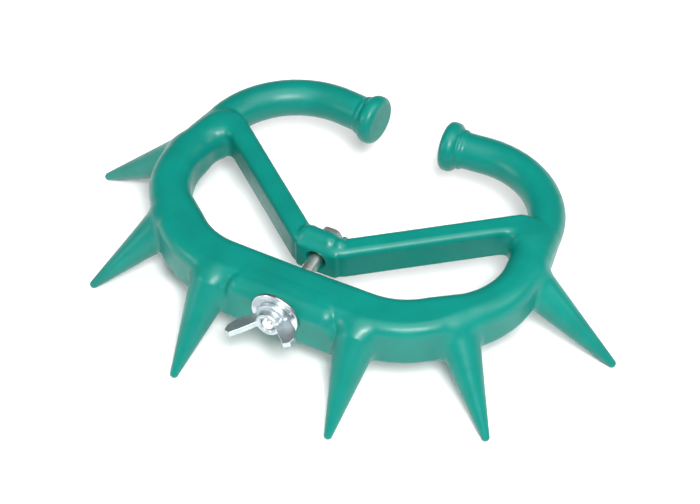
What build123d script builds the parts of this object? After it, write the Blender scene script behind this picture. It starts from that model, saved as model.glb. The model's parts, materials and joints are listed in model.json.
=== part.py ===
from build123d import *
import math
import os

os.makedirs("parts", exist_ok=True)

# Plastic nose ring that weans a cow or calf, in millimetres.
# It stands on its six spike tips, so +Z is square to the plane of the ring.
# +X is to its right and -Y is towards the wing nut. It is symmetric about X = 0.
# The origin is the centre of the footprint, on the surface that it stands on.

# Where the frame sits
seat_y = -53.8  # front face of the washer, behind which all depths are measured
ring_z = 30.0  # middle plane of the arms above the spike tips

# Ring: a bow in front, a bend, a slanting run, a second bend and a side that leans in
bow_depth = 15.0
bow_straight = 30.0
first_radius = 38.0
first_bend = 44.0
slant_run = 13.5
second_radius = 34.5
second_bend = 52.0
side_run = 12.5
ring_width = 19.5
side_width = 17.0
ring_top = 9.1
ring_bottom = -10.6
ring_top_round = 6.0
ring_bottom_round = 2.4

# Flex point in the first bend, where the side turns on the bow
flex_angle = 32.0
flex_clearance = 0.3
flex_lip = 4.5

# Root, where the ring section turns into the round arm
root_length = 12.0
root_round = 7.5

# Arms and nose knobs
arm_radius = 7.7
arm_bend = 37.5
arm_droop = 5.4
arm_tail = 7.4
knob_length = 10.8
bead_length = 4.4
neck_radius = 8.1
rim_middle = 7.4
rim_radius = 10.5
face_radius = 8.2
bead_radius = 8.6

# Struts, from the root to the yoke
strut_slope = 38.5
strut_width = 9.6
strut_top = 9.4
strut_bottom = -4.5
strut_top_round = 3.2
strut_x = 27.0
strut_depth = 54.3
root_hinge_x = 59.5
web_end_x = 72.0
yoke_hinge_x = 13.0
strut_clearance = 0.3
socket_lip = 1.5

# Yoke, in two halves that meet at the middle plane
yoke_gap = 0.3
yoke_front = 34.0
yoke_back = 47.2
yoke_front_half = 9.2
yoke_back_half = 7.4
yoke_bevel = 3.1
yoke_top = 8.0
yoke_bottom = -5.0
yoke_half_width = 13.0
barrel_radius = 4.6
barrel_depth = 40.6
barrel_z = 7.4
barrel_half_width = 12.0

# Bolt, M6 x 50, its head sunk into the back of the yoke
bolt_z = 2.2
bolt_diameter = 6.0
bolt_end = -5.6
bolt_length = 50.0
head_flats = 10.0
head_height = 4.0
flat_up = 30.0  # turns the hexagon until one flat faces up
bolt_chamfer = 0.9
hole_diameter = 7.0
yoke_hole_diameter = 8.4
hole_length = 40.0
pocket_clearance = 0.4

# Washer and wing nut
washer_diameter = 20.5
washer_hole = 6.6
washer_thickness = 1.5
nut_bore = 6.1
nut_base_radius = 6.7
nut_top_radius = 5.4
nut_height = 6.0
wing_turn = 14.0
wing_reach = 14.6
wing_thickness = 2.4
wing_outline = ((2.6, 1.0), (6.9, 1.0), (15.2, 10.6), (14.6, 13.4), (10.8, wing_reach), (3.6, 5.6))

# Raised pad round the bolt
pad_half_width = 24.5
pad_bottom = -7.0
pad_top = 7.6
pad_face = 1.5
pad_back = 12.0
pad_round = 1.5

# Spikes: where each axis starts in the ring and where its tip ends
spike_base_radius = 9.2
spike_tip_radius = 1.7
spike_axes = {
    "front": ((32.0, 8.2, 0.5), (34.4, -21.0)),
    "middle": ((63.6, 29.5, 0.5), (88.6, 6.0)),
    "rear": ((76.0, 66.5, 0.5), (116.9, 63.3)),
}

up = (0, 0, 1)
ring_level = Plane.XY.offset(ring_z)


def place(x, depth, height=0.0):
    """A point from its offset to the right, depth behind the seat and height."""
    return Vector(x, seat_y + depth, ring_z + height)


def on_bend(angle):
    """Centre of the ring at an angle along its first bend."""
    turn = math.radians(angle)
    x = bow_straight + first_radius * math.sin(turn)
    return place(x, bow_depth + first_radius * (1 - math.cos(turn)))


def on_strut(x):
    """Point on the middle line of the right strut."""
    return place(x, strut_depth + (x - strut_x) * math.tan(math.radians(strut_slope)))


def flat(x, depth):
    """The same point in the middle plane of the ring, as two coordinates."""
    return (x, seat_y + depth)


def save(piece, name):
    """Label a finished piece and write it."""
    piece.label = name
    export_step(piece, f"parts/{name}.step")


def save_pair(piece, name):
    """Write a piece of the right side and its mirror image on the left."""
    save(piece, f"{name}_right")
    with BuildPart() as twin:
        add(piece)
        mirror(about=Plane.YZ, mode=Mode.REPLACE)
    save(twin.part, f"{name}_left")


def largest(piece):
    """The largest solid of a piece, without slivers that a cut left beside it."""
    return piece.solids().sort_by(SortBy.VOLUME)[-1]


flex_point = on_bend(flex_angle)
root_hinge = on_strut(root_hinge_x)
yoke_hinge = on_strut(yoke_hinge_x)
strut_way = Vector(math.cos(math.radians(strut_slope)), math.sin(math.radians(strut_slope)), 0)
ring_height = ring_top - ring_bottom
strut_height = strut_top - strut_bottom
strut_side = Vector(-strut_way.Y, strut_way.X, 0)
head_depth = bolt_end + bolt_length
socket_radius = side_width / 2 + flex_clearance


def ring_section(plane, width):
    """Section of the ring, its rounded top towards +Z, on a plane across the path."""
    with BuildSketch(plane) as section:
        with Locations(((ring_top + ring_bottom) / 2, 0)):
            Rectangle(ring_height, width)
        corners = section.vertices().sort_by(Axis.X)
        fillet(corners[:2], ring_bottom_round)
        corners = section.vertices().sort_by(Axis.X)
        fillet(corners[-2:], ring_top_round)
    return section.sketch


def across(path):
    """Plane square to the start of a path, with its first axis upright."""
    return Plane(origin=path @ 0, x_dir=up, z_dir=path % 0)


def bolt_plane(depth):
    """Plane across the bolt that faces +Y, at a depth behind the seat."""
    return Plane(place(0, depth, bolt_z), x_dir=(1, 0, 0), z_dir=(0, 1, 0))


# Bow: the straight front and the first part of both bends
bow_turn = flex_angle - math.degrees(flex_lip / first_radius)
bend_centre_depth = bow_depth + first_radius
with BuildPart() as bow:
    with BuildLine(ring_level) as bow_path:
        CenterArc(flat(-bow_straight, bend_centre_depth), first_radius, -90 - bow_turn, bow_turn)
        Line(flat(-bow_straight, bow_depth), flat(bow_straight, bow_depth))
        CenterArc(flat(bow_straight, bend_centre_depth), first_radius, -90, bow_turn)
    add(ring_section(across(bow_path.wire()), ring_width))
    sweep(path=bow_path.wire())
    for x in (flex_point.X, -flex_point.X):
        with BuildSketch(Plane((x, flex_point.Y, ring_z + ring_bottom))):
            Circle(socket_radius)
        extrude(amount=ring_height, mode=Mode.SUBTRACT)
    with BuildSketch(bolt_plane(pad_face)):
        Circle(hole_diameter / 2)
    extrude(amount=hole_length, mode=Mode.SUBTRACT)
save(bow.part, "bow")

# Raised pad round the bolt, with round ends
with BuildPart() as bolt_pad:
    with BuildSketch(bolt_plane(pad_face)):
        with Locations((0, (pad_top + pad_bottom) / 2 - bolt_z)):
            SlotOverall(2 * pad_half_width, pad_top - pad_bottom)
        Circle(hole_diameter / 2, mode=Mode.SUBTRACT)
    extrude(amount=pad_back - pad_face)
    fillet(bolt_pad.faces().sort_by(Axis.Y)[0].outer_wire().edges(), pad_round)
    add(bow.part, mode=Mode.SUBTRACT)
save(largest(bolt_pad.part), "bolt_pad")

# Side of the ring, from its round end at the flex point to the root
with BuildPart() as side:
    with BuildLine(ring_level) as side_path:
        bend = first_bend - flex_angle
        first = CenterArc(flat(bow_straight, bend_centre_depth), first_radius, flex_angle - 90, bend)
        slant = PolarLine(first @ 1, slant_run, direction=first % 1)
        second = JernArc(slant @ 1, slant % 1, second_radius, second_bend)
        PolarLine(second @ 1, side_run, direction=second % 1)
    add(ring_section(across(side_path.wire()), side_width))
    sweep(path=side_path.wire())
    with BuildSketch(Plane((flex_point.X, flex_point.Y, ring_z + ring_bottom))):
        Circle(side_width / 2)
    extrude(amount=ring_height)
save_pair(side.part, "ring_side")

# Root, where the ring narrows to the round arm
root_start = side_path.wire() @ 1
root_way = side_path.wire() % 1
root_end = root_start + root_way * root_length
with BuildPart() as root:
    add(ring_section(Plane(root_start, x_dir=up, z_dir=root_way), side_width))
    with BuildSketch(Plane(root_end, x_dir=up, z_dir=root_way)):
        RectangleRounded(2 * arm_radius, 2 * arm_radius, root_round)
    loft()
save_pair(root.part, "root")

# Arm, a round bar that bends in over the nose
arm_way = Vector(-math.cos(math.radians(arm_droop)), -math.sin(math.radians(arm_droop)), 0)
arm_turn = 180 + arm_droop - first_bend - second_bend
with BuildPart() as arm:
    with BuildLine(ring_level) as arm_path:
        over = JernArc(root_end, root_way, arm_bend, arm_turn)
        Line(over @ 1, (over @ 1) + arm_way * arm_tail)
    with BuildSketch(across(arm_path.wire())):
        Circle(arm_radius)
    sweep(path=arm_path.wire())
save_pair(arm.part, "arm")
arm_tip = arm_path.wire() @ 1

# Nose knob: a bead and a broad rim that ends in a flat face
with BuildPart() as knob:
    with BuildSketch(Plane(arm_tip, x_dir=arm_way, z_dir=up)):
        with BuildLine():
            Line((0, 0), (0, arm_radius))
            ThreePointArc((0, arm_radius), (bead_length / 2, bead_radius), (bead_length, neck_radius))
            ThreePointArc((bead_length, neck_radius), (rim_middle, rim_radius), (knob_length, face_radius))
            Line((knob_length, face_radius), (knob_length, 0))
            Line((knob_length, 0), (0, 0))
        make_face()
    revolve(axis=Axis(arm_tip, arm_way))
save_pair(knob.part, "nose_knob")

# Web that joins the strut to the ring, with a socket for the strut's round end
with BuildPart() as web:
    with BuildSketch(Plane.XY.offset(ring_z + strut_bottom)):
        with BuildLine():
            Polyline(
                root_hinge + strut_way * socket_lip - strut_side * strut_width / 2,
                on_strut(web_end_x) - strut_side * strut_width / 2,
                on_strut(web_end_x) + strut_side * strut_width / 2,
                root_hinge + strut_way * socket_lip + strut_side * strut_width / 2,
                close=True,
            )
        make_face()
        with Locations(root_hinge):
            Circle(strut_width / 2 + strut_clearance, mode=Mode.SUBTRACT)
    extrude(amount=strut_height)
    add(root.part, mode=Mode.SUBTRACT)
    add(arm.part, mode=Mode.SUBTRACT)
save_pair(largest(web.part), "strut_web")

# Strut, a flat-sided bar with round ends
with BuildPart() as strut:
    with BuildSketch(Plane.XY.offset(ring_z + strut_bottom)):
        with Locations((root_hinge + yoke_hinge) * 0.5):
            SlotCenterToCenter((root_hinge - yoke_hinge).length, strut_width, rotation=strut_slope)
    extrude(amount=strut_height)
    fillet(strut.faces().sort_by(Axis.Z)[-1].edges(), strut_top_round)
save_pair(strut.part, "strut")

# Half of the yoke, with half of the barrel on its top and of the bolt's pocket
with BuildPart() as yoke:
    with BuildSketch(Plane.XY.offset(ring_z + yoke_bottom)):
        with BuildLine():
            Polyline(
                flat(yoke_gap, yoke_front),
                flat(yoke_front_half, yoke_front),
                flat(yoke_half_width, yoke_front + yoke_bevel),
                flat(yoke_back_half, yoke_back),
                flat(yoke_gap, yoke_back),
                close=True,
            )
        make_face()
    extrude(amount=yoke_top - yoke_bottom)
    with BuildSketch(Plane(place(yoke_gap, barrel_depth, barrel_z), x_dir=(0, 1, 0), z_dir=(1, 0, 0))):
        Circle(barrel_radius)
    extrude(amount=barrel_half_width - yoke_gap)
    with BuildSketch(Plane.XY.offset(ring_z + yoke_bottom - strut_clearance)):
        with Locations(yoke_hinge):
            Circle(strut_width / 2 + strut_clearance)
    extrude(amount=strut_top - yoke_bottom + 2 * strut_clearance, mode=Mode.SUBTRACT)
    with BuildSketch(bolt_plane(pad_back)):
        Circle(yoke_hole_diameter / 2)
    extrude(amount=hole_length, mode=Mode.SUBTRACT)
    with BuildSketch(bolt_plane(head_depth - strut_clearance)):
        RegularPolygon(head_flats / 2 + pocket_clearance, 6, major_radius=False, rotation=flat_up)
    extrude(amount=hole_length, mode=Mode.SUBTRACT)
save_pair(largest(yoke.part), "yoke")

# Bolt, its thread left to its outer diameter
with BuildPart() as bolt:
    with BuildSketch(bolt_plane(bolt_end)):
        Circle(bolt_diameter / 2)
    extrude(amount=bolt_length)
    chamfer(bolt.faces().sort_by(Axis.Y)[0].edges(), bolt_chamfer)
    with BuildSketch(bolt_plane(head_depth)):
        RegularPolygon(head_flats / 2, 6, major_radius=False, rotation=flat_up)
    extrude(amount=head_height)
save(bolt.part, "bolt")

# Washer
with BuildPart() as washer:
    with BuildSketch(bolt_plane(0)):
        Circle(washer_diameter / 2)
        Circle(washer_hole / 2, mode=Mode.SUBTRACT)
    extrude(amount=washer_thickness)
save(washer.part, "washer")

# Wing nut: a tapered hub and two flat wings that lean outwards
wing_way = Vector(math.cos(math.radians(wing_turn)), 0, math.sin(math.radians(wing_turn)))
with BuildPart() as wing_nut:
    with BuildSketch(bolt_plane(-nut_height)):
        Circle(nut_top_radius)
    with BuildSketch(bolt_plane(0)):
        Circle(nut_base_radius)
    loft()
    wing_level = Plane(place(0, 0, bolt_z), x_dir=wing_way, z_dir=wing_way.cross(Vector(0, -1, 0)))
    with BuildSketch(wing_level):
        with BuildLine():
            Polyline(*wing_outline, close=True)
        make_face()
        mirror(about=Plane.YZ)
    extrude(amount=wing_thickness / 2, both=True)
    with BuildSketch(bolt_plane(-wing_reach)):
        Circle(nut_bore / 2)
    extrude(amount=wing_reach, mode=Mode.SUBTRACT)
save(wing_nut.part, "wing_nut")

# Spikes: round cones that lean down and out to blunt tips on one level
for name, (start, tip) in spike_axes.items():
    base = place(*start)
    end = Vector(tip[0], seat_y + tip[1], spike_tip_radius)
    with BuildPart() as spike:
        with BuildSketch(Plane(base, z_dir=end - base)):
            Circle(spike_base_radius)
        with BuildSketch(Plane(end, z_dir=end - base)):
            Circle(spike_tip_radius)
        loft()
        with Locations(end):
            Sphere(spike_tip_radius)
        for ring_piece in (bow, bolt_pad, side, root):
            add(ring_piece.part, mode=Mode.SUBTRACT)
    save_pair(spike.part.solids().sort_by(Axis.Z)[0], f"spike_{name}")
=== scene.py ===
"""Looks for the weaning nose ring: one smooth moulding, a threaded bolt, a washer and a wing nut."""

import json
import math

import bmesh
import bpy
import numpy as np
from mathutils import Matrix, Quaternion, Vector


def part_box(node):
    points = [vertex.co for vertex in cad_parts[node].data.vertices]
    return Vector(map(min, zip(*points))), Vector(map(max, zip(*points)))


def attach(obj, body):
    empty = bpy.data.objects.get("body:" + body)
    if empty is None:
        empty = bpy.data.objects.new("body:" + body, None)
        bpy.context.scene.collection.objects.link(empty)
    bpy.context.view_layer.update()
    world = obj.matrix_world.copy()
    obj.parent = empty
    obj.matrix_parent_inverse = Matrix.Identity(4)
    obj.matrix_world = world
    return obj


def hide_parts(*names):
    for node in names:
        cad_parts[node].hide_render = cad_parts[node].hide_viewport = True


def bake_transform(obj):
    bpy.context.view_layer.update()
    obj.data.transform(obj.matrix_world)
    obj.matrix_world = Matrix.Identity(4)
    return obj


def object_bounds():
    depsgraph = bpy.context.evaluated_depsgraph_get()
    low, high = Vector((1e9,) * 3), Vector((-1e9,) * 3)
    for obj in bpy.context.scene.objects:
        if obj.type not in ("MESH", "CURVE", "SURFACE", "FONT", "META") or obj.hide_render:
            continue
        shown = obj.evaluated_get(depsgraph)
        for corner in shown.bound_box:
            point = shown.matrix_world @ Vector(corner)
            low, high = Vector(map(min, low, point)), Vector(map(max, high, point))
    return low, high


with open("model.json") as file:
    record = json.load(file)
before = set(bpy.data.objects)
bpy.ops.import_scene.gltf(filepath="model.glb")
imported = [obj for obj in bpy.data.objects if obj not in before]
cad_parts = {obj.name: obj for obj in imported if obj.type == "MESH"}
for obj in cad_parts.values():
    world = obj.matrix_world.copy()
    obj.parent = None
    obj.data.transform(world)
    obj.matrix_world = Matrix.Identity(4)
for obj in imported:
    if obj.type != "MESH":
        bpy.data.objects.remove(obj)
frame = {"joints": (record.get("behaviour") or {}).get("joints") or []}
cad_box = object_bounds()

# ---------------------------------------------------------------------------
# Places, read from the frame. Shapes below are in millimetres, with x to the
# right, y behind the washer's front face and z above the middle of the arms.
# ---------------------------------------------------------------------------
MM = 0.001
washer_low, washer_high = (Vector(corner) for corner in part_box("washer"))
arm_low, arm_high = (Vector(corner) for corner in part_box("arm_right"))
ORIGIN = np.array([0.0, washer_low.y / MM, (arm_low.z + arm_high.z) / 2 / MM])
BOLT_Z = (washer_low.z + washer_high.z) / 2 / MM - ORIGIN[2]
bolt_low, bolt_high = (Vector(corner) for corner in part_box("bolt"))
BOLT_END = bolt_low.y / MM - ORIGIN[1]
HEAD_HEIGHT = 4.0
HEAD_Y = bolt_high.y / MM - ORIGIN[1] - HEAD_HEIGHT
JOINTS = {joint["name"]: joint for joint in frame["joints"]}


def to_world(points):
    """Points in the design's millimetres as points of the frame, in metres."""
    return (np.asarray(points, float) + ORIGIN) * MM


def joint_place(name):
    """Where a hinge stands, in the design's millimetres."""
    return np.array(JOINTS[name]["pos_m"]) / MM - ORIGIN


# ---------------------------------------------------------------------------
# Distance fields: negative inside, in millimetres
# ---------------------------------------------------------------------------
def blend_min(a, b, reach):
    """The union of two fields, filleted over about the given reach."""
    share = np.clip(0.5 + 0.5 * (b - a) / reach, 0, 1)
    return b + (a - b) * share - reach * share * (1 - share)


def carve(a, b, reach):
    """Field a with b cut out of it, the edge eased over the given reach."""
    return -blend_min(-a, b, reach)


def round_box(u, v, half_u, half_v, top, bottom):
    """Rounded rectangle whose corners have one radius above v = 0 and one below it."""
    radius = np.minimum(np.where(v > 0, top, bottom), np.minimum(half_u, half_v))
    du = np.abs(u) - (half_u - radius)
    dv = np.abs(v) - (half_v - radius)
    outside = np.hypot(np.maximum(du, 0), np.maximum(dv, 0))
    return outside + np.minimum(np.maximum(du, dv), 0) - radius


def cone(x, y, z, start, end, start_radius, end_radius):
    """Round cone from start to end."""
    way = np.subtract(end, start)
    share = ((x - start[0]) * way[0] + (y - start[1]) * way[1] + (z - start[2]) * way[2]) / (way @ way)
    share = np.clip(share, 0, 1)
    gap = (x - start[0] - share * way[0]) ** 2 + (y - start[1] - share * way[1]) ** 2
    gap = np.sqrt(gap + (z - start[2] - share * way[2]) ** 2)
    return gap - (start_radius + (end_radius - start_radius) * share)


# ---------------------------------------------------------------------------
# The ring's middle line, right half, drawn as runs and bends from the middle of
# the bow to the nose knob's face: (length,) or (radius, degrees turned)
# ---------------------------------------------------------------------------
BOW_DEPTH = 15.0
ROUTE = ((30.0,), (38.0, 44.0), (13.5,), (34.5, 52.0), (24.5,), (37.5, 89.4), (18.2,))
KNOB_SOLID = 10.0
PAST_MIDDLE = 150.0  # how far the first run goes on past x = 0


def draw_line(route):
    """Runs (start, way, length) and bends (centre, radius, start angle, turn) of a route."""
    parts = []
    spot, heading = np.array([0.0, BOW_DEPTH]), 0.0
    for step in route:
        way = np.array([math.cos(heading), math.sin(heading)])
        if len(step) == 1:
            parts.append((spot, way, step[0]))
            spot = spot + way * step[0]
        else:
            radius, turn = step[0], math.radians(step[1])
            centre = spot + radius * np.array([-way[1], way[0]])
            parts.append((centre, radius, heading - math.pi / 2, turn))
            heading += turn
            spot = centre + radius * np.array([math.sin(heading), -math.cos(heading)])
    return parts, spot, np.array([math.cos(heading), math.sin(heading)])


LINE, knob_face, arm_way = draw_line(ROUTE)
LINE[-1] = (*LINE[-1][:2], LINE[-1][2] - KNOB_SOLID)
LENGTHS = [part[2] if len(part) == 3 else part[1] * part[3] for part in LINE]
STATIONS = np.r_[0, np.cumsum(LENGTHS)]
arm_centre, ARM_BEND = LINE[5][:2]
second_bend_end = LINE[4][0]


def nearest_on_line(x, y):
    """Distance to the middle line, and the length along it from x = 0."""
    best = place = None
    for part, start, length in zip(LINE, STATIONS, LENGTHS):
        if len(part) == 3:
            spot, way = part[:2]
            along = (x - spot[0]) * way[0] + (y - spot[1]) * way[1]
            along = np.clip(along, 0 if start else -PAST_MIDDLE, length)
            gap = np.hypot(x - spot[0] - along * way[0], y - spot[1] - along * way[1])
        else:
            centre, radius, first, turn = part
            angle = np.arctan2(y - centre[1], x - centre[0]) - first - turn / 2
            angle = (angle + math.pi) % (2 * math.pi) - math.pi
            angle = np.clip(angle, -turn / 2, turn / 2) + turn / 2
            gap = np.hypot(
                x - centre[0] - radius * np.cos(angle + first),
                y - centre[1] - radius * np.sin(angle + first),
            )
            along = angle * radius
        nearer = True if best is None else gap < best
        best = np.where(nearer, gap, gap if best is None else best)
        place = np.where(nearer, start + along, along if place is None else place)
    return best, place


# Section along the ring: place, half width, top, bottom, top and bottom radius
ARM_RADIUS = 7.7
ARM_ROUND_FROM = STATIONS[5] + 12.0
SECTIONS = (
    (0.0, 9.6, 9.1, -10.6, 5.4, 2.6),
    (STATIONS[1], 10.1, 9.1, -10.6, 5.4, 2.6),
    (STATIONS[2], 9.7, 9.1, -10.6, 5.4, 2.6),
    (STATIONS[3], 8.6, 9.1, -10.5, 6.8, 3.4),
    ((STATIONS[3] + STATIONS[4]) / 2, 8.5, 9.1, -10.3, 7.4, 4.6),
    (STATIONS[4], 8.0, 9.0, -9.8, 7.4, 5.6),
    ((STATIONS[4] + STATIONS[5]) / 2, 7.9, 8.5, -9.0, 7.4, 6.2),
    (STATIONS[5], 7.2, 7.9, -8.0, 7.2, 7.0),
    (ARM_ROUND_FROM, ARM_RADIUS, ARM_RADIUS, -ARM_RADIUS, ARM_RADIUS, ARM_RADIUS),
    (STATIONS[-1], ARM_RADIUS, ARM_RADIUS, -ARM_RADIUS, ARM_RADIUS, ARM_RADIUS),
)
section_place, *section_sizes = zip(*SECTIONS)


def hexagon(u, v):
    """Distance from the middle of a hexagon to the nearest of its flats' lines."""
    slant = math.sin(math.radians(60))
    return np.maximum(np.abs(v), np.maximum(np.abs(u * slant + v / 2), np.abs(u * slant - v / 2)))


# ---------------------------------------------------------------------------
# The moulding
# ---------------------------------------------------------------------------
PAD_HALF_WIDTH = 24.5
PAD_HALF_HEIGHT = 9.8
PAD_MIDDLE = -0.8
PAD_FACE = 1.5
PAD_BACK = 14.0
PAD_TOP_CORNER = 6.0
PAD_LOW_CORNER = 1.5
PAD_EDGE = 1.6
PAD_TOP_ROLL = 4.6  # how much rounder the face's edge is at the top
PAD_ROLL_HEIGHT = 6.0

STRUT_SLOPE = math.radians(38.5)
STRUT_HALF_WIDTH = 4.8
STRUT_TOP = 9.3
STRUT_BOTTOM = -4.6
STRUT_TOP_ROUND = 3.0
STRUT_LOW_ROUND = 1.2
STRUT_PAST_YOKE = 18.0
STRUT_PAST_ROOT = 8.0
STRUT_FRONT_REACH = 30.0  # within this x the struts stop at the yoke's front
STRUT_FRONT_ROUND = 3.0
WEB = 26.0  # length of strut over which its corner to the ring opens out
WEB_REACH = 13.0
WEB_END = 22.0  # how far past the strut's end the web is gone
WEB_FADE = 20.0
WEB_TURN = 16.0  # width over which the web gives way to the plain side
WEB_LEVEL = STRUT_TOP + 0.3
WEB_TOP_ROUND = 2.0
root_joint = joint_place("strut_root_flex_right")
yoke_joint = joint_place("yoke_flex_right")
strut_way = np.array([math.cos(STRUT_SLOPE), math.sin(STRUT_SLOPE)])
strut_from = yoke_joint[:2] - strut_way * STRUT_PAST_YOKE
strut_to = root_joint[:2] + strut_way * STRUT_PAST_ROOT
strut_length = math.dist(strut_from, strut_to)

YOKE_FRONT = 34.0
YOKE_BACK = 46.8
YOKE_HALF_WIDTH = 9.0
YOKE_TOP = 7.8
YOKE_BOTTOM = -4.8
YOKE_TOP_ROUND = 1.6
YOKE_LOW_ROUND = 1.0
YOKE_BACK_CORNER = 2.0
YOKE_FRONT_CORNER = 0.8
BARREL_MIDDLE = (-1.9, 40.2, 6.8)
BARREL_HALF = 4.6
BARREL_RADIUS = 4.7
BALL_MIDDLE = (7.4, 40.2, 7.0)
BALL_RADIUS = 3.8

SPIKES = (
    ((32.1, 7.2, -1.4), (34.4, -21.0, -28.3)),
    ((64.7, 28.4, -1.7), (88.6, 6.0, -28.3)),
    ((78.1, 66.3, -1.8), (116.9, 63.3, -28.3)),
)
SPIKE_BASE = 8.9
SPIKE_TIP = 1.7

KNOB_RADIUS = 10.5
RIM_HALF = 3.6  # half its length
RIM_FACE_ROUND = 2.7
BEAD_RADIUS = 8.5
BEAD_HALF = 1.7
BEAD_MIDDLE = 8.0  # how far behind the knob's face

HOLE_RADIUS = 3.5
YOKE_HOLE_RADIUS = 4.2
BOW_HOLE_END = 31.0
POCKET_FLAT = 5.4
POCKET_OPENING = POCKET_FLAT * 1.15
POCKET_PLAY = 0.2

# Fillets and eased edges
SPIKE_FILLET = 3.0
YOKE_FILLET = 1.2
STRUT_FILLET = 0.8
BARREL_FILLET = 0.8
FINE_FILLET = 0.6
HOLE_EDGE = 0.5
POCKET_EDGE = 0.4
SHARP = 0.01
FAR = 20.0  # a field's value well away from its surface


def upright(outline, z, top, bottom, top_round, bottom_round):
    """A plan outline's field stood up between two levels, its edges rounded."""
    middle, half = (top + bottom) / 2, (top - bottom) / 2
    radius = np.where(z > middle, top_round, bottom_round)
    du, dv = outline + radius, np.abs(z - middle) - (half - radius)
    return np.hypot(np.maximum(du, 0), np.maximum(dv, 0)) + np.minimum(np.maximum(du, dv), 0) - radius


def moulding(x, y, z):
    """Field of the whole moulding. x, y and z broadcast together."""
    right = np.abs(x)
    gap, place = nearest_on_line(right, y)
    half, top, bottom, top_round, bottom_round = (
        np.interp(place, section_place, sizes) for sizes in section_sizes
    )
    middle = (top + bottom) / 2
    field = round_box(gap, z - middle, half, (top - bottom) / 2, top_round, bottom_round)

    # Pad round the bolt, as deep as the bow, its top rolling over into its face
    front = round_box(x, z - PAD_MIDDLE, PAD_HALF_WIDTH, PAD_HALF_HEIGHT, PAD_TOP_CORNER, PAD_LOW_CORNER)
    edge = PAD_EDGE + PAD_TOP_ROLL * np.clip((z - PAD_MIDDLE) / PAD_ROLL_HEIGHT, 0, 1)
    pad = upright(front, -y, -PAD_FACE, -PAD_BACK, edge, PAD_EDGE)
    field = blend_min(field, pad, FINE_FILLET)

    # Struts. Each opens out into a web on the bow's side where it meets the ring
    along = (right - strut_from[0]) * strut_way[0] + (y - strut_from[1]) * strut_way[1]
    beside = (y - strut_from[1]) * strut_way[0] - (right - strut_from[0]) * strut_way[1]
    opening = np.clip((along - strut_length + WEB) / WEB, 0, 1)
    opening = opening * np.clip((strut_length + WEB_END - along) / WEB_FADE, 0, 1)
    along = np.clip(along, 0, strut_length)
    off_x = right - strut_from[0] - along * strut_way[0]
    off_y = y - strut_from[1] - along * strut_way[1]
    stop = np.where(right < STRUT_FRONT_REACH, y - YOKE_FRONT, FAR)
    outline = -blend_min(STRUT_HALF_WIDTH - np.hypot(off_x, off_y), stop, STRUT_FRONT_ROUND)
    strut = upright(outline, z, STRUT_TOP, STRUT_BOTTOM, STRUT_TOP_ROUND, STRUT_LOW_ROUND)
    reach = STRUT_FILLET + WEB_REACH * opening * np.clip(0.5 - beside / WEB_TURN, 0, 1)
    field = blend_min(field, strut, reach)
    field = carve(field, WEB_LEVEL - z, SHARP + WEB_TOP_ROUND * opening)

    # Yoke, the barrel on it and the small ball at the barrel's right end
    depth = y - (YOKE_FRONT + YOKE_BACK) / 2
    half_depth = (YOKE_BACK - YOKE_FRONT) / 2
    yoke = round_box(right, depth, YOKE_HALF_WIDTH, half_depth, YOKE_BACK_CORNER, YOKE_FRONT_CORNER)
    yoke = upright(yoke, z, YOKE_TOP, YOKE_BOTTOM, YOKE_TOP_ROUND, YOKE_LOW_ROUND)
    field = blend_min(field, yoke, YOKE_FILLET)
    past_end = np.maximum(np.abs(x - BARREL_MIDDLE[0]) - BARREL_HALF, 0)
    barrel = np.hypot(np.hypot(past_end, y - BARREL_MIDDLE[1]), z - BARREL_MIDDLE[2]) - BARREL_RADIUS
    ball = np.hypot(np.hypot(x - BALL_MIDDLE[0], y - BALL_MIDDLE[1]), z - BALL_MIDDLE[2]) - BALL_RADIUS
    field = blend_min(field, barrel, BARREL_FILLET)
    field = blend_min(field, ball, FINE_FILLET)

    # Spikes
    for start, end in SPIKES:
        field = blend_min(field, cone(right, y, z, start, end, SPIKE_BASE, SPIKE_TIP), SPIKE_FILLET)

    # Nose knob: a rim with a flat end face, and a bead behind it
    axial = (knob_face[0] - right) * arm_way[0] + (knob_face[1] - y) * arm_way[1]
    offset = (right - knob_face[0]) * arm_way[1] - (y - knob_face[1]) * arm_way[0]
    radial = np.hypot(offset, z)
    rim = round_box(radial, RIM_HALF - axial, KNOB_RADIUS, RIM_HALF, RIM_FACE_ROUND, RIM_HALF)
    bead = round_box(radial, BEAD_MIDDLE - axial, BEAD_RADIUS, BEAD_HALF, BEAD_HALF, BEAD_HALF)
    field = blend_min(field, blend_min(rim, bead, FINE_FILLET), FINE_FILLET)

    # Bolt holes through the bow and the yoke, and the pocket for the bolt's head, open at the top
    up = z - BOLT_Z
    from_bolt = np.hypot(x, up)
    hole = np.where(y < BOW_HOLE_END, from_bolt - HOLE_RADIUS, from_bolt - YOKE_HOLE_RADIUS)
    pocket = np.where(up > 0, np.abs(x) - POCKET_OPENING, hexagon(x, up) - POCKET_FLAT)
    pocket = np.maximum(pocket, HEAD_Y - POCKET_PLAY - y)
    return carve(carve(field, hole, HOLE_EDGE), pocket, POCKET_EDGE)


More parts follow.
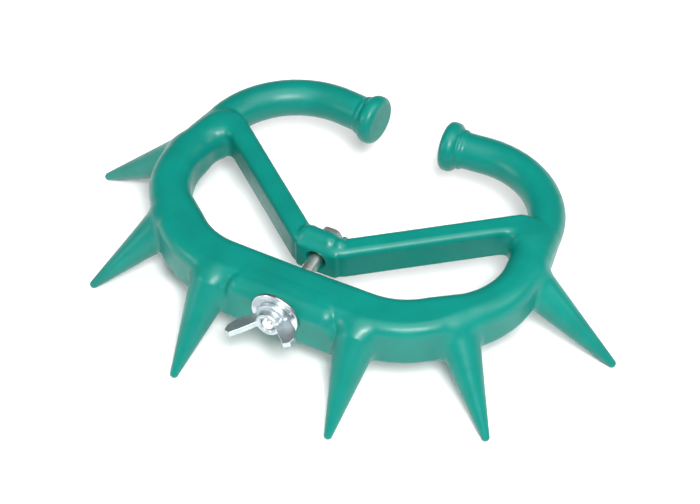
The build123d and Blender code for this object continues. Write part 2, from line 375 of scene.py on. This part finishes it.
# ---------------------------------------------------------------------------
# Meshing a field: one vertex in each cell that the surface crosses, drawn onto
# the surface, and one quad across each grid edge that it crosses
# ---------------------------------------------------------------------------
def mesh_grid(values, low, step):
    """Vertices and quads of the zero surface of a grid of field values."""
    inside = values < 0
    shape = np.array(values.shape)
    total = np.zeros(shape - 1)
    sums = [np.zeros(shape - 1) for _ in range(3)]
    for axis in range(3):
        ahead = np.take(values, range(1, shape[axis]), axis)
        here = np.take(values, range(shape[axis] - 1), axis)
        crossed = (ahead < 0) != (here < 0)
        share = np.where(crossed, here / np.where(crossed, here - ahead, 1), 0)
        others = [other for other in range(3) if other != axis]
        for first in (0, 1):
            for second in (0, 1):
                cut = [slice(None)] * 3
                cut[others[0]] = slice(first, shape[others[0]] - 1 + first)
                cut[others[1]] = slice(second, shape[others[1]] - 1 + second)
                mask, part = crossed[tuple(cut)], share[tuple(cut)]
                total += mask
                sums[axis] += part
                sums[others[0]] += mask * first
                sums[others[1]] += mask * second
    cells = np.argwhere(total > 0)
    index = np.full(shape - 1, -1)
    index[tuple(cells.T)] = np.arange(len(cells))
    counts = total[tuple(cells.T)]
    offsets = np.stack([part[tuple(cells.T)] for part in sums], 1) / counts[:, None]
    points = low + (cells + offsets) * step
    quads = []
    for axis in range(3):
        others = [(axis + 1) % 3, (axis + 2) % 3]
        here = np.take(inside, range(shape[axis] - 1), axis)
        ahead = np.take(inside, range(1, shape[axis]), axis)
        edges = np.argwhere(here != ahead)
        for other in others:
            edges = edges[(edges[:, other] > 0) & (edges[:, other] < shape[other] - 1)]
        corners = []
        for first, second in ((1, 1), (0, 1), (0, 0), (1, 0)):
            cell = edges.copy()
            cell[:, others[0]] -= first
            cell[:, others[1]] -= second
            corners.append(index[tuple(cell.T)])
        quad = np.stack(corners, 1)
        outward = here[tuple(edges.T)]
        quads.append(np.where(outward[:, None], quad, quad[:, ::-1]))
    return points, np.vstack(quads)


PROBE = 0.02
LEAST_SLOPE = 0.2  # of the gradient squared: a flat spot in a field doesn't throw a point far
TINY = 1e-9


def slope(field, points):
    """Gradient of a field at points, from its values at the corners of a small tetrahedron."""
    result = np.zeros_like(points)
    for corner in ((1, -1, -1), (-1, -1, 1), (-1, 1, -1), (1, 1, 1)):
        result += np.outer(field(*(points + np.multiply(corner, PROBE)).T), corner)
    return result / (4 * PROBE)


def draw_onto(field, points, step, rounds=3):
    """Moves points onto the field's zero surface and gives the surface's normals."""
    for _ in range(rounds):
        gradient = slope(field, points)
        size = np.maximum((gradient**2).sum(1), LEAST_SLOPE)
        move = -(field(*points.T) / size)[:, None] * gradient
        length = np.linalg.norm(move, axis=1)
        points = points + move * np.minimum(1, step / np.maximum(length, TINY))[:, None]
    gradient = slope(field, points)
    return points, gradient / np.maximum(np.linalg.norm(gradient, axis=1), TINY)[:, None]


def surface(field, low, high, step):
    """Points, quads and normals of a field's zero surface inside a box."""
    low, high = np.asarray(low, float), np.asarray(high, float)
    counts = np.ceil((high - low) / step).astype(int) + 1
    x, y, z = (low[axis] + step * np.arange(counts[axis]) for axis in range(3))
    values = field(x[:, None, None], y[None, :, None], z[None, None, :])
    points, quads = mesh_grid(values, low, step)
    points, normals = draw_onto(field, points, step)
    return points, quads, normals


# ---------------------------------------------------------------------------
# Pieces
# ---------------------------------------------------------------------------
def new_piece(name, vertices, faces, material):
    """A mesh object from points in the design's millimetres."""
    mesh = bpy.data.meshes.new(name)
    mesh.from_pydata(to_world(vertices).tolist(), [], [list(map(int, face)) for face in faces])
    mesh.materials.append(material)
    piece = bpy.data.objects.new(name, mesh)
    bpy.context.scene.collection.objects.link(piece)
    return piece


def shade_with(piece, normals, flat=()):
    """Smooth shading with the field's own normals, except on the faces listed as flat."""
    mesh = piece.data
    smooth = np.ones(len(mesh.polygons), bool)
    smooth[list(flat)] = False
    mesh.polygons.foreach_set("use_smooth", smooth)
    corner = np.empty(len(mesh.loops), int)
    mesh.loops.foreach_get("vertex_index", corner)
    per_corner = np.asarray(normals)[corner]
    for index in flat:
        face = mesh.polygons[index]
        per_corner[face.loop_start : face.loop_start + face.loop_total] = 0
    mesh.normals_split_custom_set(per_corner.tolist())


def field_piece(name, field, low, high, step, material):
    """A closed piece meshed from its own field."""
    points, quads, normals = surface(field, low, high, step)
    piece = new_piece(name, points, quads, material)
    shade_with(piece, normals)
    return piece


# ---------------------------------------------------------------------------
# Materials
# ---------------------------------------------------------------------------
PLASTIC_DARK = (0.0, 0.156, 0.125)
PLASTIC_LIGHT = (0.0, 0.188, 0.151)
PLASTIC_IOR = 1.37
STEEL_DULLING = 0.82
BOLT_TINT = (0.78, 0.81, 0.79)
WASHER_TINT = (0.6, 0.64, 0.66)
NUT_TINT = (0.56, 0.64, 0.67)


def node_material(name):
    """An empty node material with its Principled shader and node makers."""
    material = bpy.data.materials.new(name)
    material.use_nodes = True
    tree = material.node_tree
    shader = next(node for node in tree.nodes if node.type == "BSDF_PRINCIPLED")

    def add(kind, **inputs):
        node = tree.nodes.new(kind)
        for socket, value in inputs.items():
            node.inputs[socket.replace("_", " ")].default_value = value
        return node

    return material, tree, shader, add


def noise(tree, add, scale, detail, roughness=0.5):
    """A noise texture over the object, in object metres."""
    place = add("ShaderNodeTexCoord")
    texture = add("ShaderNodeTexNoise", Scale=scale, Detail=detail, Roughness=roughness)
    tree.links.new(place.outputs["Object"], texture.inputs["Vector"])
    return texture


def spread(tree, add, value, low, high, low_out, high_out):
    """Maps a value from one range to another."""
    node = add("ShaderNodeMapRange")
    for socket, number in zip(("From Min", "From Max", "To Min", "To Max"), (low, high, low_out, high_out)):
        node.inputs[socket].default_value = number
    tree.links.new(value, node.inputs["Value"])
    return node.outputs["Result"]


def mottle(tree, add, value, socket, dark, light):
    """Colours a socket by a value: (place, colour) of the dark and the light end."""
    ramp = add("ShaderNodeValToRGB")
    for element, (place, colour) in zip(ramp.color_ramp.elements, (dark, light)):
        element.position = place
        element.color = (*colour, 1)
    tree.links.new(value, ramp.inputs["Fac"])
    tree.links.new(ramp.outputs["Color"], socket)


def moulded_plastic(name):
    """Teal polyethylene: faint flow mottling, a soft gloss and a slightly uneven skin."""
    material, tree, shader, add = node_material(name)
    flow = noise(tree, add, scale=55.0, detail=4.0).outputs["Fac"]
    mottle(tree, add, flow, shader.inputs["Base Color"], (0.32, PLASTIC_DARK), (0.7, PLASTIC_LIGHT))
    fine = noise(tree, add, scale=420.0, detail=3.0)
    rough = spread(tree, add, fine.outputs["Fac"], 0.3, 0.7, 0.3, 0.42)
    tree.links.new(rough, shader.inputs["Roughness"])
    swell = noise(tree, add, scale=130.0, detail=2.0)
    height = add("ShaderNodeMath")
    height.operation = "ADD"
    grain = spread(tree, add, fine.outputs["Fac"], 0.0, 1.0, 0.0, 0.12)
    tree.links.new(swell.outputs["Fac"], height.inputs[0])
    tree.links.new(grain, height.inputs[1])
    bump = add("ShaderNodeBump", Strength=0.3, Distance=0.0002)
    tree.links.new(height.outputs["Value"], bump.inputs["Height"])
    tree.links.new(bump.outputs["Normal"], shader.inputs["Normal"])
    shader.inputs["IOR"].default_value = PLASTIC_IOR
    return material


def plated_steel(name, tint, low_rough, high_rough, grain):
    """Bright zinc plate: slightly cloudy tint, uneven gloss and a fine grain."""
    material, tree, shader, add = node_material(name)
    cloud = noise(tree, add, scale=260.0, detail=3.0).outputs["Fac"]
    dull = [STEEL_DULLING * part for part in tint]
    mottle(tree, add, cloud, shader.inputs["Base Color"], (0.3, dull), (0.72, tint))
    shader.inputs["Metallic"].default_value = 1.0
    pits = noise(tree, add, scale=grain, detail=4.0, roughness=0.6)
    rough = spread(tree, add, pits.outputs["Fac"], 0.3, 0.7, low_rough, high_rough)
    tree.links.new(rough, shader.inputs["Roughness"])
    bump = add("ShaderNodeBump", Strength=0.15, Distance=0.00004)
    tree.links.new(pits.outputs["Fac"], bump.inputs["Height"])
    tree.links.new(bump.outputs["Normal"], shader.inputs["Normal"])
    return material


plastic = moulded_plastic("teal_polyethylene")
thread_steel = plated_steel("zinc_bolt", BOLT_TINT, 0.28, 0.42, 900.0)
washer_plate = plated_steel("zinc_washer", WASHER_TINT, 0.24, 0.38, 700.0)
nut_plate = plated_steel("zinc_wing_nut", NUT_TINT, 0.38, 0.52, 500.0)

# ---------------------------------------------------------------------------
# The moulding, meshed whole, then cut square across its arms into closed pieces
# that meet without a gap
# ---------------------------------------------------------------------------
bow_joint = joint_place("bow_flex_right")
lean = math.asin((bow_joint[0] - ROUTE[0][0]) / ROUTE[1][0])
bow_way = np.array([math.cos(lean), math.sin(lean)])
KNOB_CUT = 12.0
YOKE_CUT = np.array([0.0, 41.9])
YOKE_CUT_REACH = 17.0
ACROSS = np.array([1.0, 0.0])
ARM_CUT = math.radians(35)
arm_cut_way = np.array([-math.sin(ARM_CUT), math.cos(ARM_CUT)])
arm_cut = arm_centre + ARM_BEND * np.array([math.cos(ARM_CUT), math.sin(ARM_CUT)])
# Name of the cut: (point, direction across it, radius that holds the section)
CUTS = {
    "shoulder_start": (bow_joint[:2] - 6.5 * bow_way, bow_way, 19.0),
    "shoulder_end": (bow_joint[:2] + 6.0 * bow_way, bow_way, 19.0),
    "root_start": (root_joint[:2] - 2.0 * strut_way, strut_way, 10.5),
    "root_end": (root_joint[:2] - 12.0 * strut_way, strut_way, 10.0),
    "yoke_start": (yoke_joint[:2] + 9.5 * strut_way, strut_way, 10.0),
    "yoke_end": (yoke_joint[:2] + 3.5 * strut_way, strut_way, 10.0),
    "arm": (arm_cut, arm_cut_way, 14.0),
    "knob": (knob_face - KNOB_CUT * arm_way, arm_way, 12.0),
}
CUT_ROUNDING = 1e-7
MIRROR = np.array([-1.0, 1.0])


def cut(model, point, way, reach):
    """Cuts the model across a plane near a point, and closes both sides."""
    middle = Vector(to_world((point[0], point[1], 0.0)).tolist())
    normal = Vector((way[0], way[1], 0.0))
    faces = [face for face in model.faces if (face.calc_center_median() - middle).length < reach * MM]
    edges = {edge for face in faces for edge in face.edges}
    corners = {corner for face in faces for corner in face.verts}
    found = bmesh.ops.bisect_plane(
        model, geom=[*faces, *edges, *corners], plane_co=middle, plane_no=normal, dist=CUT_ROUNDING
    )
    seam = [item for item in found["geom_cut"] if isinstance(item, bmesh.types.BMEdge)]
    bmesh.ops.split_edges(model, edges=seam)
    open_edges = [edge for edge in model.edges if edge.is_boundary]
    caps = bmesh.ops.edgeloop_fill(model, edges=open_edges)["faces"]
    for face in caps:
        face.smooth = False


def components(model):
    """Lists of vertices that hang together."""
    model.verts.ensure_lookup_table()
    seen = set()
    groups = []
    for first in model.verts:
        if first.index in seen:
            continue
        seen.add(first.index)
        group = [first]
        for corner in group:
            for edge in corner.link_edges:
                other = edge.other_vert(corner)
                if other.index not in seen:
                    seen.add(other.index)
                    group.append(other)
        groups.append(group)
    return groups


# The grid that the moulding is meshed on
GRID = 0.75
GRID_MARGIN = 2.0
GRID_LEFT_MARGIN = 2.03  # keeps the grid's planes off the middle plane
GRID_FRONT = -26.0
GRID_BOTTOM = -31.7
GRID_TOP = 14.0
low_corner, high_corner = ((np.array(corner) / MM - ORIGIN) for corner in cad_box)
grid_low = (low_corner[0] - GRID_LEFT_MARGIN, GRID_FRONT, GRID_BOTTOM)
grid_high = (high_corner[0] + GRID_MARGIN, high_corner[1] + GRID_MARGIN, GRID_TOP)
points, quads, _ = surface(moulding, grid_low, grid_high, GRID)
whole = bpy.data.meshes.new("whole")
whole.from_pydata(to_world(points).tolist(), [], quads.tolist())
model = bmesh.new()
model.from_mesh(whole)
for face in model.faces:
    face.smooth = True
for point, way, reach in CUTS.values():
    cut(model, point, way, reach)
    cut(model, MIRROR * point, MIRROR * way, reach)
cut(model, YOKE_CUT, ACROSS, YOKE_CUT_REACH)
bmesh.ops.recalc_face_normals(model, faces=model.faces)
model.verts.index_update()

# Name of the piece: (a point near it, bodies, points it bends between, CAD nodes it stands for)
BOW_NODES = ("bow", "bolt_pad", "spike_front_left", "spike_front_right")
PIECES = {"bow": ((0.0, BOW_DEPTH), ("bow",), (), BOW_NODES)}
for hand, sign in (("right", 1), ("left", -1)):
    side, strut, yoke = f"side_{hand}", f"strut_{hand}", f"yoke_{hand}"
    flip = np.array([sign, 1.0])
    side_nodes = ["ring_side", "root", "strut_web", "spike_middle", "spike_rear"]
    table = {
        "shoulder": (bow_joint[:2], ("bow", side), ("shoulder_start", "shoulder_end"), ()),
        "side": (second_bend_end, (side,), (), side_nodes),
        "arm": (arm_centre + ARM_BEND * np.array([0.5, 0.87]), (side,), (), ["arm"]),
        "nose_knob": (knob_face - 3.0 * arm_way, (side,), (), ["nose_knob"]),
        "strut_root": (root_joint[:2] - 6.0 * strut_way, (side, strut), ("root_start", "root_end"), ()),
        "strut": (root_joint[:2] - 30.0 * strut_way, (strut,), (), ["strut"]),
        "strut_end": (yoke_joint[:2] + 6.5 * strut_way, (strut, yoke), ("yoke_start", "yoke_end"), ()),
        "yoke": ((7.0, 46.5), (yoke,), (), ["yoke"]),
    }
    for name, (near, bodies, between, nodes) in table.items():
        PIECES[f"{name}_{hand}"] = (
            flip * near,
            bodies,
            [(flip * CUTS[place][0]) for place in between],
            [f"{node}_{hand}" for node in nodes],
        )

groups = components(model)
group_places = [np.array([corner.co for corner in group]) / MM - ORIGIN for group in groups]
for name, (near, bodies, between, nodes) in PIECES.items():
    gaps = [np.hypot(*(spots[:, :2] - near).T).min() for spots in group_places]
    nearest = int(np.argmin(gaps))
    group, spots = groups[nearest], group_places[nearest]
    number = {corner.index: place for place, corner in enumerate(group)}
    faces = sorted({face for corner in group for face in corner.link_faces}, key=lambda face: face.index)
    rings = [[number[corner.index] for corner in face.verts] for face in faces]
    piece = new_piece(name, spots, rings, plastic)
    gradient = slope(moulding, spots)
    gradient /= np.linalg.norm(gradient, axis=1)[:, None]
    shade_with(piece, gradient, [place for place, face in enumerate(faces) if not face.smooth])
    if len(bodies) == 1:
        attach(piece, bodies[0])
    else:
        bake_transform(piece)
    if nodes:
        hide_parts(*nodes)
model.free()

# ---------------------------------------------------------------------------
# Bolt, washer and wing nut
# ---------------------------------------------------------------------------
THREAD_RADIUS = 2.98
THREAD_DEPTH = 0.56
PITCH = 1.0
FLANK = 2.5  # how steeply the thread rises across a turn
CREST = 0.12  # leaves the thread's crest flat
THREAD_END = 16.0
THREAD_FADE = 2.0
THREAD_EASE = 0.8  # evens out the field's slope on the flanks
CHAMFER = 0.9
SHANK_IN_HEAD = 1.0
HEAD_FLAT = 5.0
HEAD_CHAMFER = 0.1
BEVEL_SINE = 0.5  # the head's chamfer leans 30 degrees
BEVEL_COSINE = 0.866
DIAGONAL = 0.707  # a 45 degree chamfer


def bolt_field(x, y, z):
    """M6 bolt: a thread on its end with a chamfer, a plain shank and a hexagon head."""
    up = z - BOLT_Z
    radial = np.hypot(x, up)
    turn = (y / PITCH + np.arctan2(up, x) / (2 * math.pi)) % 1.0
    groove = np.clip(np.abs(turn - 0.5) * FLANK - CREST, 0, 1)
    groove = groove * np.clip((THREAD_END - y) / THREAD_FADE, 0, 1)
    shank = (radial - THREAD_RADIUS + THREAD_DEPTH * groove) * THREAD_EASE
    shank = np.maximum(shank, BOLT_END - y)
    shank = np.maximum(shank, (radial - THREAD_RADIUS + CHAMFER + BOLT_END - y) * DIAGONAL)
    shank = np.maximum(shank, y - HEAD_Y - SHANK_IN_HEAD)
    head = np.abs(y - HEAD_Y - HEAD_HEIGHT / 2) - HEAD_HEIGHT / 2
    head = np.maximum(head, hexagon(x, up) - HEAD_FLAT)
    bevel = (radial - HEAD_FLAT - HEAD_CHAMFER) * BEVEL_SINE + (y - HEAD_Y - HEAD_HEIGHT) * BEVEL_COSINE
    return np.minimum(shank, np.maximum(head, bevel))


NUT_HEIGHT = 6.0
HUB_RADIUS = 5.2
HUB_ROUND = 1.0
COLLAR_RADIUS = 6.9
COLLAR_HEIGHT = 2.4
COLLAR_ROUND = 0.9
NUT_BORE = 3.05
NUT_DISH = 0.9
NUT_BASE_ROUND = 0.2
COLLAR_FILLET = 0.5
WING_FILLET = 0.9
BORE_EDGE = 0.3
WING_TURN = math.radians(14)
WING_HALF = 1.2
WING_ROUND = 0.4
# Corners of a wing: (distance from the bolt's line, distance ahead of the washer)
WING = ((3.0, 0.7), (7.2, 0.9), (12.6, 5.2), (15.4, 10.2), (15.0, 13.2), (11.2, 15.0), (4.6, 6.2))


def polygon(u, v, corners):
    """Distance to a polygon whose corners run anticlockwise, negative inside."""
    nearest = np.full(np.broadcast(u, v).shape, np.inf)
    inside = np.zeros(nearest.shape, bool)
    for (u0, v0), (u1, v1) in zip(corners, corners[1:] + corners[:1]):
        du, dv = u1 - u0, v1 - v0
        share = np.clip(((u - u0) * du + (v - v0) * dv) / (du * du + dv * dv), 0, 1)
        nearest = np.minimum(nearest, np.hypot(u - u0 - share * du, v - v0 - share * dv))
        if dv:
            inside ^= ((v0 > v) != (v1 > v)) & (u < (v - v0) / dv * du + u0)
    return np.where(inside, -nearest, nearest)


def nut_field(x, y, z):
    """Wing nut: a collar and a narrower hub with a dished face, and two flat wings."""
    up, ahead = z - BOLT_Z, -y
    radial = np.hypot(x, up)
    across = np.abs(x * math.cos(WING_TURN) + up * math.sin(WING_TURN))
    beside = np.abs(up * math.cos(WING_TURN) - x * math.sin(WING_TURN))
    hub = upright(radial - HUB_RADIUS, ahead, NUT_HEIGHT, 0.0, HUB_ROUND, NUT_BASE_ROUND)
    collar = upright(radial - COLLAR_RADIUS, ahead, COLLAR_HEIGHT, 0.0, COLLAR_ROUND, NUT_BASE_ROUND)
    wing = upright(polygon(across, ahead, WING), beside, WING_HALF, -WING_HALF, WING_ROUND, WING_ROUND)
    body = blend_min(blend_min(hub, collar, COLLAR_FILLET), wing, WING_FILLET)
    dish = (radial - NUT_BORE - NUT_DISH + NUT_HEIGHT - ahead) * DIAGONAL
    return carve(body, np.minimum(radial - NUT_BORE, dish), BORE_EDGE)


WASHER_RADIUS = 10.25
WASHER_HOLE = 3.3
WASHER_THICKNESS = 1.5
WASHER_EDGE = 0.45


def washer_field(x, y, z):
    """Stamped washer with rounded edges."""
    radial = np.hypot(x, z - BOLT_Z)
    middle = (WASHER_RADIUS + WASHER_HOLE) / 2
    half = (WASHER_RADIUS - WASHER_HOLE) / 2
    half_thick = WASHER_THICKNESS / 2
    return round_box(radial - middle, y - half_thick, half, half_thick, WASHER_EDGE, WASHER_EDGE)


def metal(name, field, reach, depths, step, material):
    """One metal piece on the bolt's line. The washer rides on the bow, the others on their own bodies."""
    low = (-reach, depths[0], BOLT_Z - reach)
    high = (reach, depths[1], BOLT_Z + reach)
    piece = field_piece(name, field, low, high, step, material)
    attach(piece, "bow" if name == "washer" else name)
    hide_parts(name)


bolt_depths = (BOLT_END - 0.5, HEAD_Y + HEAD_HEIGHT + 0.6)
metal("bolt", bolt_field, 6.4, bolt_depths, 0.2, thread_steel)
metal("washer", washer_field, 11.0, (-0.7, 2.2), 0.24, washer_plate)
metal("wing_nut", nut_field, 16.0, (-15.5, 0.7), 0.26, nut_plate)

# ---------------------------------------------------------------------------
# Floor, light and camera
# ---------------------------------------------------------------------------
FLOOR = 4.0  # half its width, in metres
floor_corners = [(-FLOOR, -FLOOR, 0), (FLOOR, -FLOOR, 0), (FLOOR, FLOOR, 0), (-FLOOR, FLOOR, 0)]
floor_mesh = bpy.data.meshes.new("floor")
floor_mesh.from_pydata(floor_corners, [], [(0, 1, 2, 3)])
floor = bpy.data.objects.new("floor", floor_mesh)
bpy.context.scene.collection.objects.link(floor)
paper, _, paper_shader, _ = node_material("white_paper")
paper_shader.inputs["Base Color"].default_value = (0.93, 0.93, 0.93, 1)
paper_shader.inputs["Roughness"].default_value = 0.9
paper_shader.inputs["Specular IOR Level"].default_value = 0.1
floor_mesh.materials.append(paper)

AZIMUTH = math.radians(27.87)
ELEVATION = math.radians(45.59)
ROLL = math.radians(-0.39)
DISTANCE = 0.912
LENS = 117.8
SENSOR = 36.0
TARGET = Vector(to_world((8.94, 46.18, -0.32)).tolist())
level = math.cos(ELEVATION)
look = Vector((-level * math.sin(AZIMUTH), level * math.cos(AZIMUTH), -math.sin(ELEVATION)))
camera_data = bpy.data.cameras.new("camera")
camera_data.lens = LENS
camera_data.sensor_width = SENSOR
camera = bpy.data.objects.new("camera", camera_data)
camera.location = TARGET - DISTANCE * look
camera.rotation_euler = (look.to_track_quat("-Z", "Y") @ Quaternion((0, 0, 1), ROLL)).to_euler()
bpy.context.scene.collection.objects.link(camera)
bpy.context.scene.camera = camera


def soft_light(name, side, height, distance, size, power):
    """A square softbox that faces the object, at a compass angle from +X and an elevation, in degrees."""
    side, height = math.radians(side), math.radians(height)
    away = Vector((math.cos(side) * math.cos(height), math.sin(side) * math.cos(height), math.sin(height)))
    data = bpy.data.lights.new(name, "AREA")
    data.size = size
    data.energy = power
    lamp = bpy.data.objects.new(name, data)
    lamp.location = TARGET + distance * away
    lamp.rotation_euler = (-away).to_track_quat("-Z", "Y").to_euler()
    bpy.context.scene.collection.objects.link(lamp)


soft_light("key", side=-54, height=51, distance=1.5, size=0.35, power=27.0)
soft_light("over", side=-20, height=78, distance=1.6, size=1.3, power=18.0)
soft_light("left", side=-140, height=24, distance=1.5, size=0.5, power=6.0)
soft_light("right", side=20, height=40, distance=1.5, size=0.6, power=5.0)
WORLD_LIGHT = 0.12
world = bpy.data.worlds.new("world")
world.use_nodes = True
world.node_tree.nodes["Background"].inputs["Color"].default_value = (1, 1, 1, 1)
world.node_tree.nodes["Background"].inputs["Strength"].default_value = WORLD_LIGHT
bpy.context.scene.world = world
bpy.context.scene.view_settings.view_transform = "Standard"
